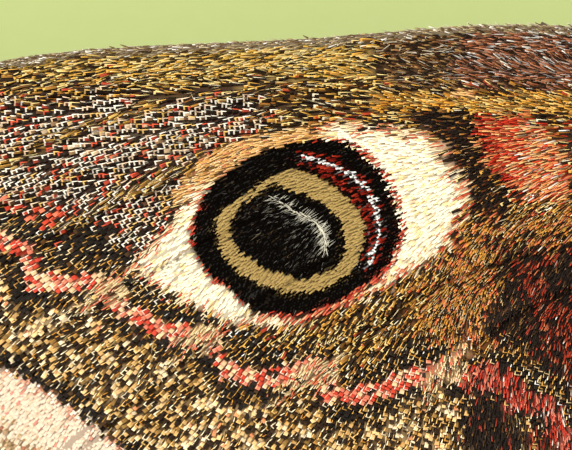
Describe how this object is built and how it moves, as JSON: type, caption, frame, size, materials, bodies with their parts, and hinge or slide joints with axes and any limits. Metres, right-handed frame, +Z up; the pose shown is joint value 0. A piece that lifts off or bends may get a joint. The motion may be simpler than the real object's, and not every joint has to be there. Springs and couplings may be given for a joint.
{
  "type": "emperor moth",
  "caption": "Still life-size moth with open wings, an eyespot on each wing, a furry body, feathered antennae and bent legs, standing on its feet.",
  "frame": {"origin": "middle of the plan outline, on the floor plane that the feet stand on", "axes": "+X to the moth's own left along the wingspan, -Y forward to the head, +Z up"},
  "size_m": [0.0598, 0.0324, 0.0098],
  "materials": {
    "wing_brown": "matte scales on membrane",
    "wing_orange": "matte scales on membrane",
    "fur_brown": "dark fur",
    "fur_grey": "grey brown fur",
    "eye_black": "faceted dark eye",
    "feeler_tan": "ochre chitin",
    "leg_brown": "furry brown"
  },
  "bodies": {
    "root": {"abdomen": "fur_grey", "antenna_left": "feeler_tan", "antenna_right": "feeler_tan", "eye_left": "eye_black", "eye_right": "eye_black", "foreleg_left": "leg_brown", "foreleg_right": "leg_brown", "forewing_left": "wing_brown", "forewing_right": "wing_brown", "head": "fur_brown", "hindleg_left": "leg_brown", "hindleg_right": "leg_brown", "hindwing_left": "wing_orange", "hindwing_right": "wing_orange", "midleg_left": "leg_brown", "midleg_right": "leg_brown", "thorax": "fur_brown"}
  },
  "joints": []
}
